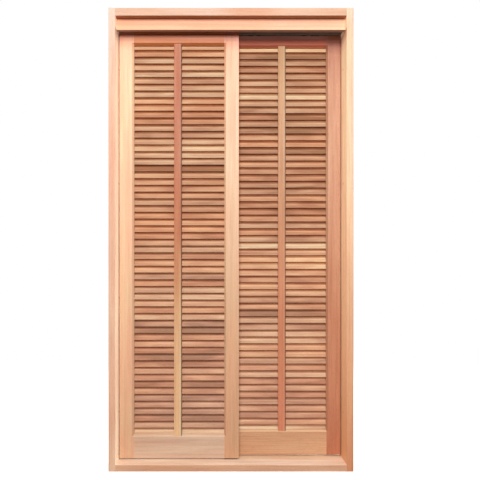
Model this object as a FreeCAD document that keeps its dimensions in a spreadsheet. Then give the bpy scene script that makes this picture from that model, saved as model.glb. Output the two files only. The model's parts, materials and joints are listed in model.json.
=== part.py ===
import FreeCAD, Part
import Sketcher
import math
import os

doc = FreeCAD.newDocument("louvred_sliding_door")

# Driving sizes in millimetres, with counts and clearances
sizes = [
    ("frame_width", 1110),
    ("frame_height", 2100),
    ("jamb_thickness", 30.5),
    ("head_thickness", 35),
    ("sill_thickness", 29),
    ("edge_radius", 1.5),
    ("fascia_height", 52),
    ("fascia_thickness", 20),
    ("fascia_setback", 26),
    ("fascia_gap", 20),
    ("leaf_thickness", 35),
    ("leaf_spacing", 8),
    ("back_margin", 6),
    ("leaf_overlap", 74),
    ("leaf_side_gap", 3.5),
    ("leaf_floor_gap", 6.5),
    ("leaf_track_gap", 9),
    ("stile_width", 68),
    ("top_rail_height", 61),
    ("bottom_rail_height", 108),
    ("rear_panel_lift", 9),
    ("rail_bevel", 8),
    ("slat_width", 44),
    ("slat_thickness", 7),
    ("front_slat_pitch", 31.7),
    ("rear_slat_pitch", 32.3),
    ("front_slat_foot_housing", 3),
    ("rear_slat_foot_housing", 11),
    ("slat_head_housing", 20),
    ("slat_back_margin", 2),
    ("slat_housing", 8),
    ("housing_clearance", 0.2),
    ("batten_width", 36),
    ("front_batten_offset", 6),
    ("batten_thickness", 7.5),
    ("batten_recess", 3),
    ("dowel_radius", 5),
    ("dowel_length", 80),
    ("dowel_end_gap", 1),
    ("top_dowel_spacing", 24),
    ("top_dowel_lift", 3),
    ("bottom_dowel_spacing", 54),
    ("fit_clearance", 0.1),
    ("groove_width", 7),
    ("groove_depth", 12),
    ("hanger_inset", 150),
    ("plate_length", 70),
    ("plate_width", 26),
    ("plate_thickness", 3),
    ("plate_screw_spacing_long", 50),
    ("plate_screw_spacing_wide", 14),
    ("bolt_radius", 4),
    ("bolt_head_radius", 6.25),
    ("bolt_head_height", 5),
    ("bolt_tail", 12),
    ("bolt_end_gap", 2),
    ("nut_across_flats", 13),
    ("nut_height", 5),
    ("carriage_length", 64),
    ("carriage_width", 10),
    ("carriage_height", 16),
    ("carriage_boss", 18),
    ("axle_spacing", 40),
    ("axle_radius", 2.5),
    ("axle_head_radius", 4),
    ("axle_head_length", 1),
    ("wheel_radius", 10),
    ("wheel_width", 7),
    ("wheel_gap", 0.4),
    ("wheel_clearance", 0.3),
    ("wheel_bore_clearance", 0.1),
    ("track_wall", 2),
    ("track_side_gap", 1.2),
    ("track_headroom", 5.7),
    ("track_end_gap", 0.5),
    ("slot_clearance", 2),
    ("track_screw_inset", 60),
    ("track_screw_count", 5),
    ("stop_length", 20),
    ("stop_height", 15),
    ("stop_gap", 0.5),
    ("stop_clearance", 0.2),
    ("guide_length", 60),
    ("guide_base", 3),
    ("guide_margin", 8),
    ("fin_thickness", 5),
    ("fin_top_gap", 3),
    ("guide_screw_spacing", 36),
    ("frame_screw_radius", 2.5),
    ("frame_screw_head_radius", 5),
    ("frame_screw_head_depth", 3),
    ("frame_screw_length", 70),
    ("frame_screw_spacing", 90),
    ("fascia_screw_length", 60),
    ("fascia_screw_inset", 80),
    ("fascia_screw_count", 5),
    ("small_screw_radius", 2),
    ("small_screw_head_radius", 3.8),
    ("small_screw_head_depth", 2.4),
    ("track_screw_length", 24),
    ("plate_screw_length", 30),
    ("guide_screw_length", 20),
    ("fixing_radius", 3.25),
    ("fixing_sink_radius", 6.5),
    ("fixing_sink_depth", 3.25),
    ("fixing_end_distance", 250),
    ("fixing_count", 4),
]

# Sizes that follow from the driving ones
layout_rows = [
    ("frame_depth", "dims.fascia_setback + dims.fascia_thickness + dims.fascia_gap"
     " + 2 * dims.leaf_thickness + dims.leaf_spacing + dims.back_margin"),
    ("inner_width", "dims.frame_width - 2 * dims.jamb_thickness"),
    ("head_underside", "dims.frame_height - dims.head_thickness"),
    ("lane_pitch", "dims.leaf_thickness + dims.leaf_spacing"),
    ("wheel_offset", "dims.carriage_width / 2 + dims.wheel_gap"),
    ("axle_half", "wheel_offset + dims.wheel_width + dims.wheel_gap"),
    ("track_inner_width", "2 * (axle_half + dims.axle_head_length + dims.track_side_gap)"),
    ("track_width", "track_inner_width + 2 * dims.track_wall"),
    ("track_height", "2 * (dims.wheel_radius + dims.track_wall) + dims.wheel_clearance"
     " + dims.track_headroom"),
    ("track_slot", "2 * (dims.bolt_radius + dims.slot_clearance)"),
    ("track_length", "inner_width - 2 * dims.track_end_gap"),
    ("track_underside", "head_underside - track_height"),
    ("track_screw_step", "(track_length - 2 * dims.track_screw_inset)"
     " / (dims.track_screw_count - 1)"),
    ("leaf_bottom", "dims.sill_thickness + dims.leaf_floor_gap"),
    ("leaf_height", "track_underside - dims.leaf_track_gap - leaf_bottom"),
    ("leaf_width", "(inner_width + dims.leaf_overlap) / 2 - dims.leaf_side_gap"),
    ("leaf_travel", "inner_width - 2 * dims.leaf_side_gap - leaf_width"),
    ("front_leaf_x", "dims.leaf_side_gap - inner_width / 2"),
    ("rear_leaf_x", "front_leaf_x + leaf_travel"),
    ("front_leaf_y", "dims.fascia_setback + dims.fascia_thickness + dims.fascia_gap"
     " - frame_depth / 2"),
    ("rear_leaf_y", "front_leaf_y + lane_pitch"),
    ("front_lane", "front_leaf_y + dims.leaf_thickness / 2"),
    ("rear_lane", "front_lane + lane_pitch"),
    ("panel_width", "leaf_width - 2 * dims.stile_width"),
    ("panel_height", "leaf_height - dims.top_rail_height - dims.bottom_rail_height"),
    ("front_panel_foot", "dims.bottom_rail_height"),
    ("rear_panel_foot", "dims.bottom_rail_height + dims.rear_panel_lift"),
    ("front_panel_top", "front_panel_foot + panel_height"),
    ("rear_panel_top", "rear_panel_foot + panel_height"),
    ("rear_batten_x", "(leaf_width - dims.batten_width) / 2"),
    ("front_batten_x", "rear_batten_x - dims.front_batten_offset"),
    ("slat_front", "dims.batten_recess + dims.batten_thickness"),
    ("slat_foot_y", "slat_front + dims.slat_thickness / 2"),
    ("front_slat_foot", "front_panel_foot - dims.front_slat_foot_housing"
     " + dims.slat_thickness / 2"),
    ("rear_slat_foot", "rear_panel_foot - dims.rear_slat_foot_housing + dims.slat_thickness / 2"),
    ("slat_run", "dims.leaf_thickness - slat_front - dims.slat_back_margin"
     " - dims.slat_thickness"),
    ("slat_rise", "sqrt((dims.slat_width - dims.slat_thickness) ^ 2 - slat_run ^ 2)"),
    ("slat_room", "panel_height + dims.slat_head_housing - slat_rise - dims.slat_thickness"),
    ("front_slat_room", "slat_room + dims.front_slat_foot_housing"),
    ("rear_slat_room", "slat_room + dims.rear_slat_foot_housing"),
    ("front_slat_count", "round(front_slat_room / dims.front_slat_pitch) + 1"),
    ("rear_slat_count", "round(rear_slat_room / dims.rear_slat_pitch) + 1"),
    ("front_slat_step", "front_slat_room / (front_slat_count - 1)"),
    ("rear_slat_step", "rear_slat_room / (rear_slat_count - 1)"),
    ("dowel_hole_depth", "dims.dowel_length / 2 + dims.dowel_end_gap"),
    ("front_top_dowel_z", "(leaf_height + front_panel_top) / 2 + dims.top_dowel_lift"),
    ("rear_top_dowel_z", "(leaf_height + rear_panel_top) / 2 + dims.top_dowel_lift"),
    ("front_bottom_dowel_z", "(front_panel_foot + dims.groove_depth) / 2"),
    ("rear_bottom_dowel_z", "(rear_panel_foot + dims.groove_depth) / 2"),
    ("hanger_spacing", "leaf_width - 2 * dims.hanger_inset"),
    ("lip_top", "leaf_height + dims.leaf_track_gap + dims.track_wall"),
    ("axle_z", "lip_top + dims.wheel_clearance + dims.wheel_radius"),
    ("carriage_top", "axle_z + dims.carriage_height / 2"),
    ("stop_x", "front_leaf_x + dims.hanger_inset - dims.carriage_length / 2 - dims.stop_gap"
     " - dims.stop_length"),
    ("stop_step", "leaf_travel + hanger_spacing + dims.carriage_length + 2 * dims.stop_gap"
     " + dims.stop_length"),
    ("fin_height", "dims.leaf_floor_gap + dims.groove_depth - dims.fin_top_gap"),
    ("frame_screw_rise", "dims.frame_height - (dims.head_thickness + dims.sill_thickness) / 2"),
    ("fascia_y", "dims.fascia_setback - frame_depth / 2"),
    ("fascia_screw_y", "fascia_y + dims.fascia_thickness / 2"),
    ("fascia_screw_step", "(inner_width - 2 * dims.fascia_screw_inset)"
     " / (dims.fascia_screw_count - 1)"),
    ("fixing_step", "(dims.frame_height - 2 * dims.fixing_end_distance)"
     " / (dims.fixing_count - 1)"),
]


def fill_sheet(name, rows, lead):
    sheet = doc.addObject("Spreadsheet::Sheet", name)
    for row, (alias, content) in enumerate(rows, start=1):
        sheet.set(f"A{row}", alias)
        sheet.set(f"B{row}", f"{lead}{content}")
        sheet.setAlias(f"B{row}", alias)
    doc.recompute()
    return sheet


dims = fill_sheet("dims", sizes, "")
layout = fill_sheet("layout", layout_rows, "=")
parts = []


def value(expression):
    return float(dims.evalExpression(expression))


def bind(target, settings):
    for prop, expression in settings.items():
        target.setExpression(prop, expression)


# Bodies, sketches and features

def new_body(label, x="0", y="0", z="0"):
    body = doc.addObject("PartDesign::Body", label)
    body.Label = label
    body.AllowCompound = True
    bind(body, {"Placement.Base.x": x, "Placement.Base.y": y, "Placement.Base.z": z})
    parts.append(body)
    return body


def origin_item(body, role):
    return [item for item in body.Origin.OriginFeatures if item.Role == role][0]


def new_sketch(body, name, role, x="0", y="0", lift="0"):
    sketch = body.newObject("Sketcher::SketchObject", f"{body.Label}_{name}")
    sketch.AttachmentSupport = (origin_item(body, role), [""])
    sketch.MapMode = "FlatFace"
    bind(sketch, {
        "AttachmentOffset.Base.x": x,
        "AttachmentOffset.Base.y": y,
        "AttachmentOffset.Base.z": lift,
    })
    return sketch


def fix_point(sketch, geometry, vertex, x, y):
    for kind, expression in (("DistanceX", x), ("DistanceY", y)):
        rule = Sketcher.Constraint(kind, -1, 1, geometry, vertex, value(expression))
        index = sketch.addConstraint(rule)
        sketch.setExpression(f"Constraints[{index}]", expression)


def add_outline(sketch, points):
    corners = [FreeCAD.Vector(value(x), value(y), 0) for x, y in points]
    first = sketch.GeometryCount
    count = len(points)
    for k in range(count):
        sketch.addGeometry(Part.LineSegment(corners[k], corners[(k + 1) % count]))
    for k in range(count):
        after = first + (k + 1) % count
        sketch.addConstraint(Sketcher.Constraint("Coincident", first + k, 2, after, 1))
    for k, (x, y) in enumerate(points):
        fix_point(sketch, first + k, 1, x, y)


def add_rectangle(sketch, left, bottom, right, top):
    add_outline(sketch, [(left, bottom), (right, bottom), (right, top), (left, top)])


def add_circle(sketch, x, y, radius):
    centre = FreeCAD.Vector(value(x), value(y), 0)
    circle = Part.Circle(centre, FreeCAD.Vector(0, 0, 1), value(radius))
    geometry = sketch.addGeometry(circle)
    fix_point(sketch, geometry, 3, x, y)
    index = sketch.addConstraint(Sketcher.Constraint("Radius", geometry, value(radius)))
    sketch.setExpression(f"Constraints[{index}]", radius)


def add_round_slot(sketch, foot, tip, radius):
    start = FreeCAD.Vector(value(foot[0]), value(foot[1]), 0)
    end = FreeCAD.Vector(value(tip[0]), value(tip[1]), 0)
    size = value(radius)
    turn = math.atan2(end.y - start.y, end.x - start.x)
    quarter = math.pi / 2
    side = FreeCAD.Vector(-math.sin(turn), math.cos(turn), 0) * size
    up = FreeCAD.Vector(0, 0, 1)
    low = Part.ArcOfCircle(Part.Circle(start, up, size), turn + quarter, turn + 3 * quarter)
    high = Part.ArcOfCircle(Part.Circle(end, up, size), turn - quarter, turn + quarter)
    for curve in (low, high):
        sketch.addGeometry(curve)
    sketch.addGeometry(Part.LineSegment(start - side, end - side))
    sketch.addGeometry(Part.LineSegment(end + side, start + side))
    for join in ((0, 2, 2, 1), (2, 2, 1, 1), (1, 2, 3, 1), (3, 2, 0, 1)):
        sketch.addConstraint(Sketcher.Constraint("Tangent", *join))
    sketch.addConstraint(Sketcher.Constraint("Equal", 0, 1))
    fix_point(sketch, 0, 3, *foot)
    fix_point(sketch, 1, 3, *tip)
    index = sketch.addConstraint(Sketcher.Constraint("Radius", 0, size))
    sketch.setExpression(f"Constraints[{index}]", radius)


def add_feature(body, kind, name, sketch, length, backwards):
    feature = body.newObject(f"PartDesign::{kind}", f"{body.Label}_{name}")
    feature.Profile = sketch
    feature.Reversed = backwards
    feature.setExpression("Length", length)
    doc.recompute()
    return feature


def add_pad(body, name, sketch, length, backwards=False):
    return add_feature(body, "Pad", name, sketch, length, backwards)


def add_pocket(body, name, sketch, length, backwards=False):
    before = body.Shape.Volume
    feature = add_feature(body, "Pocket", name, sketch, length, backwards)
    if feature.Shape.Volume >= before:
        raise RuntimeError(f"{feature.Name} cuts nothing")
    return feature


def add_turned(body, kind, name, sketch, axis):
    feature = body.newObject(f"PartDesign::{kind}", f"{body.Label}_{name}")
    feature.Profile = sketch
    feature.ReferenceAxis = (sketch, [axis])
    doc.recompute()
    return feature


def add_pattern(body, name, feature, rows):
    pattern = body.newObject("PartDesign::MultiTransform", f"{body.Label}_{name}")
    pattern.Originals = [feature]
    steps = []
    for number, (axis, step, count) in enumerate(rows, start=1):
        row = body.newObject("PartDesign::LinearPattern", f"{body.Label}_{name}_{number}")
        row.Direction = (origin_item(body, axis), [""])
        row.Mode = "Spacing"
        bind(row, {"Offset": step, "Occurrences": count})
        steps.append(row)
    pattern.Transformations = steps
    body.Tip = pattern
    doc.recompute()


def ease_edges(body, feature, wanted):
    names = []
    for number, edge in enumerate(feature.Shape.Edges, start=1):
        if wanted(edge):
            names.append(f"Edge{number}")
    fillet = body.newObject("PartDesign::Fillet", f"{body.Label}_eased_edges")
    fillet.Base = (feature, names)
    fillet.setExpression("Radius", "dims.edge_radius")
    doc.recompute()


def runs_along(edge, direction):
    return abs(edge.tangentAt(edge.FirstParameter).dot(direction)) > 0.999


along_x = FreeCAD.Vector(1, 0, 0)
along_z = FreeCAD.Vector(0, 0, 1)


# Screws and the holes that take them

def sunk_profile(length, radius, head_radius, head_depth, clearance="0"):
    wide = f"{head_radius} + {clearance}"
    thin = f"{radius} + {clearance}"
    end = f"{length} + {clearance}"
    return [("0", "0"), ("0", wide), (head_depth, thin), (end, thin), (end, "0")]


def pan_profile(length, radius, head_radius, head_depth):
    return [(f"-{head_depth}", "0"), (f"-{head_depth}", head_radius), ("0", head_radius),
            ("0", radius), (length, radius), (length, "0")]


frame_screw = ("dims.frame_screw_radius", "dims.frame_screw_head_radius",
               "dims.frame_screw_head_depth")
small_screw = ("dims.small_screw_radius", "dims.small_screw_head_radius",
               "dims.small_screw_head_depth")


def turn_points(points, axis, sign):
    flipped = [(f"{sign}({along})", out) for along, out in points]
    if axis == "H_Axis":
        return flipped
    return [(out, along) for along, out in flipped]


def add_screws(body, axis, sign, points, rows):
    sketch = new_sketch(body, "profile", "XZ_Plane")
    add_outline(sketch, turn_points(points, axis, sign))
    screw = add_turned(body, "Revolution", "screw", sketch, axis)
    add_pattern(body, "set", screw, rows)


def drill(body, name, axis, sign, place, points, rows):
    x, y, z = place
    sketch = new_sketch(body, f"{name}_profile", "XZ_Plane", x, z, f"-({y})")
    add_outline(sketch, turn_points(points, axis, sign))
    before = body.Shape.Volume
    hole = add_turned(body, "Groove", name, sketch, axis)
    if hole.Shape.Volume >= before:
        raise RuntimeError(f"{hole.Name} cuts nothing")
    if rows:
        add_pattern(body, f"{name}_row", hole, rows)


def straight_hole(depth, radius):
    return [("0", "0"), ("0", radius), (depth, radius), (depth, "0")]


pilot_radius = "dims.frame_screw_radius + dims.fit_clearance"
small_pilot = "dims.small_screw_radius + dims.fit_clearance"
frame_pilot_depth = ("dims.frame_screw_length - dims.jamb_thickness + dims.fit_clearance")
frame_screw_rows = [("Y_Axis", "dims.frame_screw_spacing", "2"),
                    ("Z_Axis", "layout.frame_screw_rise", "2")]


# Fixed frame: jambs, head, sill and fascia

def make_jamb(label, x, outer, sign):
    body = new_body(label, x, "-layout.frame_depth / 2")
    section = new_sketch(body, "section", "XY_Plane")
    add_rectangle(section, "0", "0", "dims.jamb_thickness", "layout.frame_depth")
    board = add_pad(body, "board", section, "dims.frame_height")
    ease_edges(body, board, lambda edge: runs_along(edge, along_z))
    low_screw = (outer, "(layout.frame_depth - dims.frame_screw_spacing) / 2",
                 "dims.sill_thickness / 2")
    hole = sunk_profile("dims.jamb_thickness", *frame_screw, "dims.fit_clearance")
    drill(body, "screw_hole", "H_Axis", sign, low_screw, hole, frame_screw_rows)
    inner = "dims.jamb_thickness" if outer == "0" else "0"
    back = "-" if sign == "" else ""
    fixing = sunk_profile("dims.jamb_thickness", "dims.fixing_radius",
                          "dims.fixing_sink_radius", "dims.fixing_sink_depth")
    low_fixing = (inner, "layout.frame_depth / 2", "dims.fixing_end_distance")
    drill(body, "fixing_hole", "H_Axis", back, low_fixing, fixing,
          [("Z_Axis", "layout.fixing_step", "dims.fixing_count")])


def make_cross_board(label, z, thickness):
    body = new_body(label, "-layout.inner_width / 2", "-layout.frame_depth / 2", z)
    section = new_sketch(body, "section", "YZ_Plane")
    add_rectangle(section, "0", "0", "layout.frame_depth", thickness)
    board = add_pad(body, "board", section, "layout.inner_width")
    ease_edges(body, board, lambda edge: runs_along(edge, along_x))
    row = "(layout.frame_depth - dims.frame_screw_spacing) / 2"
    pilot = straight_hole(frame_pilot_depth, pilot_radius)
    for name, x, sign in (("left_pilot", "0", ""), ("right_pilot", "layout.inner_width", "-")):
        drill(body, name, "H_Axis", sign, (x, row, f"{thickness} / 2"), pilot,
              [("Y_Axis", "dims.frame_screw_spacing", "2")])
    return body


def make_head():
    body = make_cross_board("head", "layout.head_underside", "dims.head_thickness")
    pilot = straight_hole("dims.track_screw_length + dims.fit_clearance", small_pilot)
    first = ("dims.track_end_gap + dims.track_screw_inset",
             "layout.front_lane + layout.frame_depth / 2", "0")
    drill(body, "track_pilot", "V_Axis", "", first, pilot,
          [("X_Axis", "layout.track_screw_step", "dims.track_screw_count"),
           ("Y_Axis", "layout.lane_pitch", "2")])
    hole = sunk_profile("dims.head_thickness", *frame_screw, "dims.fit_clearance")
    top = ("dims.fascia_screw_inset", "layout.fascia_screw_y + layout.frame_depth / 2",
           "dims.head_thickness")
    drill(body, "fascia_hole", "V_Axis", "-", top, hole,
          [("X_Axis", "layout.fascia_screw_step", "dims.fascia_screw_count")])


def make_sill():
    body = make_cross_board("sill", "0", "dims.sill_thickness")
    pilot = straight_hole("dims.guide_screw_length - dims.guide_base + dims.fit_clearance",
                          small_pilot)
    first = ("(layout.inner_width - dims.guide_screw_spacing) / 2",
             "(layout.front_lane + layout.rear_lane + layout.frame_depth) / 2",
             "dims.sill_thickness")
    drill(body, "guide_pilot", "V_Axis", "-", first, pilot,
          [("X_Axis", "dims.guide_screw_spacing", "2")])


def make_fascia():
    body = new_body("fascia", "-layout.inner_width / 2", "layout.fascia_y",
                    "layout.head_underside - dims.fascia_height")
    section = new_sketch(body, "section", "YZ_Plane")
    add_rectangle(section, "0", "0", "dims.fascia_thickness", "dims.fascia_height")
    board = add_pad(body, "board", section, "layout.inner_width")
    ease_edges(body, board, lambda edge: runs_along(edge, along_x))
    depth = "dims.fascia_screw_length - dims.head_thickness + dims.fit_clearance"
    first = ("dims.fascia_screw_inset", "dims.fascia_thickness / 2", "dims.fascia_height")
    drill(body, "screw_pilot", "V_Axis", "-", first, straight_hole(depth, pilot_radius),
          [("X_Axis", "layout.fascia_screw_step", "dims.fascia_screw_count")])


def make_frame_screws(label, x, sign):
    body = new_body(label, x, "-dims.frame_screw_spacing / 2", "dims.sill_thickness / 2")
    add_screws(body, "H_Axis", sign, sunk_profile("dims.frame_screw_length", *frame_screw),
               frame_screw_rows)


def make_fascia_screws():
    body = new_body("fascia_screws", "dims.fascia_screw_inset - layout.inner_width / 2",
                    "layout.fascia_screw_y", "dims.frame_height")
    add_screws(body, "V_Axis", "-", sunk_profile("dims.fascia_screw_length", *frame_screw),
               [("X_Axis", "layout.fascia_screw_step", "dims.fascia_screw_count")])


# Overhead tracks, stops and floor guide

def make_track(label, lane):
    body = new_body(label, "-layout.track_length / 2", lane, "layout.track_underside")
    half = "layout.track_width / 2"
    inner = "layout.track_inner_width / 2"
    slot = "layout.track_slot / 2"
    roof = "layout.track_height - dims.track_wall"
    section = new_sketch(body, "section", "YZ_Plane")
    add_outline(section, [
        (f"-{half}", "0"), (f"-{slot}", "0"), (f"-{slot}", "dims.track_wall"),
        (f"-{inner}", "dims.track_wall"), (f"-{inner}", roof), (inner, roof),
        (inner, "dims.track_wall"), (slot, "dims.track_wall"), (slot, "0"), (half, "0"),
        (half, "layout.track_height"), (f"-{half}", "layout.track_height"),
    ])
    add_pad(body, "channel", section, "layout.track_length")
    first = ("dims.track_screw_inset", "0", roof)
    drill(body, "screw_hole", "V_Axis", "", first, straight_hole("dims.track_wall", small_pilot),
          [("X_Axis", "layout.track_screw_step", "dims.track_screw_count")])


def make_track_screws():
    body = new_body("track_screws", "dims.track_screw_inset - layout.track_length / 2",
                    "layout.front_lane", "layout.head_underside - dims.track_wall")
    add_screws(body, "V_Axis", "", pan_profile("dims.track_screw_length", *small_screw),
               [("X_Axis", "layout.track_screw_step", "dims.track_screw_count"),
                ("Y_Axis", "layout.lane_pitch", "2")])


def make_track_stops(label, lane):
    body = new_body(label, "layout.stop_x", lane, "layout.track_underside + dims.track_wall")
    half = "(layout.track_inner_width / 2 - dims.stop_clearance)"
    section = new_sketch(body, "section", "YZ_Plane")
    add_rectangle(section, f"-{half}", "0", half, "dims.stop_height")
    block = add_pad(body, "block", section, "dims.stop_length")
    add_pattern(body, "pair", block, [("X_Axis", "layout.stop_step", "2")])


def make_floor_guide():
    body = new_body("floor_guide", "-dims.guide_length / 2",
                    "(layout.front_lane + layout.rear_lane) / 2", "dims.sill_thickness")
    near = "(layout.lane_pitch / 2 - dims.fin_thickness / 2)"
    far = "(layout.lane_pitch / 2 + dims.fin_thickness / 2)"
    edge = f"({far} + dims.guide_margin)"
    section = new_sketch(body, "section", "YZ_Plane")
    add_outline(section, [
        (f"-{edge}", "0"), (edge, "0"), (edge, "dims.guide_base"), (far, "dims.guide_base"),
        (far, "layout.fin_height"), (near, "layout.fin_height"), (near, "dims.guide_base"),
        (f"-{near}", "dims.guide_base"), (f"-{near}", "layout.fin_height"),
        (f"-{far}", "layout.fin_height"), (f"-{far}", "dims.guide_base"),
        (f"-{edge}", "dims.guide_base"),
    ])
    add_pad(body, "base_and_fins", section, "dims.guide_length")
    first = ("(dims.guide_length - dims.guide_screw_spacing) / 2", "0", "dims.guide_base")
    hole = sunk_profile("dims.guide_base", *small_screw, "dims.fit_clearance")
    drill(body, "screw_hole", "V_Axis", "-", first, hole,
          [("X_Axis", "dims.guide_screw_spacing", "2")])


def make_floor_guide_screws():
    body = new_body("floor_guide_screws", "-dims.guide_screw_spacing / 2",
                    "(layout.front_lane + layout.rear_lane) / 2",
                    "dims.sill_thickness + dims.guide_base")
    add_screws(body, "V_Axis", "-", sunk_profile("dims.guide_screw_length", *small_screw),
               [("X_Axis", "dims.guide_screw_spacing", "2")])


# Leaf woodwork, in the leaf's own frame: x from its left edge, y from its face, z from its foot

mid_y = "dims.leaf_thickness / 2"
right_shoulder = "(layout.leaf_width - dims.stile_width)"


def leaf_body(leaf, name):
    return new_body(f"{leaf}_leaf_{name}", f"layout.{leaf}_leaf_x", f"layout.{leaf}_leaf_y",
                    "layout.leaf_bottom")


def cut_bevel(leaf, body):
    sketch = new_sketch(body, "bevel_outline", "XZ_Plane")
    add_rectangle(sketch, "dims.stile_width - dims.rail_bevel",
                  f"layout.{leaf}_panel_foot - dims.rail_bevel",
                  f"{right_shoulder} + dims.rail_bevel",
                  f"layout.{leaf}_panel_top + dims.rail_bevel")
    bevel = add_pocket(body, "bevel", sketch, "dims.rail_bevel")
    bevel.TaperAngle = -45
    doc.recompute()


def cut_groove(body, x, length):
    sketch = new_sketch(body, "groove_section", "YZ_Plane", lift=x)
    add_rectangle(sketch, f"{mid_y} - dims.groove_width / 2", "0",
                  f"{mid_y} + dims.groove_width / 2", "dims.groove_depth")
    add_pocket(body, "groove", sketch, length, backwards=True)


def dowel_rows(leaf, rail):
    centre = f"layout.{leaf}_{rail}_dowel_z"
    half = f"dims.{rail}_dowel_spacing / 2"
    return [f"{centre} - {half}", f"{centre} + {half}"]


def cut_dowel_holes(body, name, x, heights):
    sketch = new_sketch(body, f"{name}_circles", "YZ_Plane", lift=x)
    for z in heights:
        add_circle(sketch, mid_y, z, "dims.dowel_radius + dims.fit_clearance")
    add_pocket(body, name, sketch, "layout.dowel_hole_depth", backwards=True)


def leaf_board(leaf, body, left, bottom, right, top, eased):
    outline = new_sketch(body, "outline", "XZ_Plane")
    add_rectangle(outline, left, bottom, right, top)
    board = add_pad(body, "board", outline, "dims.leaf_thickness", backwards=True)
    ease_edges(body, board, eased)
    cut_bevel(leaf, body)


def add_slat_section(leaf, sketch, radius, lift="0"):
    foot = f"layout.{leaf}_slat_foot + {lift}"
    add_round_slot(sketch, ("layout.slat_foot_y", foot),
                   ("layout.slat_foot_y + layout.slat_run", f"{foot} + layout.slat_rise"), radius)


def slat_rows(leaf):
    return [("Z_Axis", f"layout.{leaf}_slat_step", f"layout.{leaf}_slat_count")]


def make_stile(leaf, name, left, outer, hole_start):
    body = leaf_body(leaf, name)
    edge_x = value(outer)
    leaf_board(leaf, body, left, "0", f"{left} + dims.stile_width", "layout.leaf_height",
               lambda edge: runs_along(edge, along_z)
               and abs(edge.CenterOfMass.x - edge_x) < value("dims.edge_radius"))
    cut_groove(body, left, "dims.stile_width")
    cut_dowel_holes(body, "dowel_holes", hole_start("layout.dowel_hole_depth"),
                    dowel_rows(leaf, "top") + dowel_rows(leaf, "bottom"))
    depth = "dims.slat_housing + dims.housing_clearance"
    sketch = new_sketch(body, "housing_section", "YZ_Plane", lift=hole_start(depth))
    add_slat_section(leaf, sketch, "dims.slat_thickness / 2 + dims.housing_clearance")
    housing = add_pocket(body, "housing", sketch, depth, backwards=True)
    add_pattern(body, "housings", housing, slat_rows(leaf))


def make_rail(leaf, rail, bottom, top):
    body = leaf_body(leaf, f"{rail}_rail")
    outer_z = value("layout.leaf_height") if rail == "top" else 0
    leaf_board(leaf, body, "dims.stile_width", bottom, right_shoulder, top,
               lambda edge: runs_along(edge, along_x)
               and abs(edge.CenterOfMass.z - outer_z) < value("dims.edge_radius"))
    heights = dowel_rows(leaf, rail)
    cut_dowel_holes(body, "left_dowel_holes", "dims.stile_width", heights)
    cut_dowel_holes(body, "right_dowel_holes", f"{right_shoulder} - layout.dowel_hole_depth",
                    heights)
    # the end slat of the column sits in a groove along the rail
    section = new_sketch(body, "slat_groove_section", "YZ_Plane", lift="dims.stile_width")
    add_slat_section(leaf, section, "dims.slat_thickness / 2 + dims.housing_clearance",
                     f"layout.{leaf}_slat_room" if rail == "top" else "0")
    add_pocket(body, "slat_groove", section, "layout.panel_width", backwards=True)
    return body


def make_top_rail(leaf):
    body = make_rail(leaf, "top", f"layout.{leaf}_panel_top", "layout.leaf_height")
    half_length = "(dims.plate_length / 2 + dims.housing_clearance)"
    half_width = "(dims.plate_width / 2 + dims.housing_clearance)"
    pair = [("X_Axis", "layout.hanger_spacing", "2")]
    recess = new_sketch(body, "plate_recess_outline", "XY_Plane", "dims.hanger_inset", mid_y,
                        "layout.leaf_height - dims.plate_thickness")
    add_rectangle(recess, f"-{half_length}", f"-{half_width}", half_length, half_width)
    cut = add_pocket(body, "plate_recess", recess, "dims.plate_thickness", backwards=True)
    add_pattern(body, "plate_recesses", cut, pair)
    floor = "layout.leaf_height - dims.plate_thickness"
    bolt_depth = "dims.bolt_tail - dims.plate_thickness + dims.bolt_end_gap"
    bolt_hole = straight_hole(bolt_depth, "dims.bolt_radius + dims.slot_clearance / 2")
    drill(body, "bolt_hole", "V_Axis", "-", ("dims.hanger_inset", mid_y, floor), bolt_hole, pair)
    pilot = straight_hole("dims.plate_screw_length - dims.plate_thickness + dims.fit_clearance",
                          small_pilot)
    for name, side in (("near_pilot", "-"), ("far_pilot", "+")):
        y = f"{mid_y} {side} dims.plate_screw_spacing_wide / 2"
        first = ("dims.hanger_inset - dims.plate_screw_spacing_long / 2", y, floor)
        drill(body, name, "V_Axis", "-", first, pilot,
              [("X_Axis", "dims.plate_screw_spacing_long", "2"),
               ("X_Axis", "layout.hanger_spacing", "2")])


def make_bottom_rail(leaf):
    body = make_rail(leaf, "bottom", "0", f"layout.{leaf}_panel_foot")
    cut_groove(body, "dims.stile_width", "layout.panel_width")


def make_slats(leaf):
    body = leaf_body(leaf, "slats")
    section = new_sketch(body, "section", "YZ_Plane", lift="dims.stile_width - dims.slat_housing")
    add_slat_section(leaf, section, "dims.slat_thickness / 2")
    slat = add_pad(body, "slat", section, "layout.panel_width + 2 * dims.slat_housing")
    add_pattern(body, "column", slat, slat_rows(leaf))


def make_batten(leaf):
    body = leaf_body(leaf, "centre_batten")
    nose = "dims.rail_bevel - dims.batten_recess"
    low = f"layout.{leaf}_panel_foot"
    high = f"layout.{leaf}_panel_top"
    section = new_sketch(body, "side", "YZ_Plane", lift=f"layout.{leaf}_batten_x")
    add_outline(section, [
        ("dims.batten_recess", f"{low} - ({nose})"),
        ("dims.rail_bevel", low),
        ("layout.slat_front", low),
        ("layout.slat_front", high),
        ("dims.rail_bevel", high),
        ("dims.batten_recess", f"{high} + {nose}"),
    ])
    strip = add_pad(body, "strip", section, "dims.batten_width")
    face = value("dims.batten_recess")
    ease_edges(body, strip, lambda edge: runs_along(edge, along_z)
               and abs(edge.CenterOfMass.y - face) < value("dims.edge_radius"))


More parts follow.
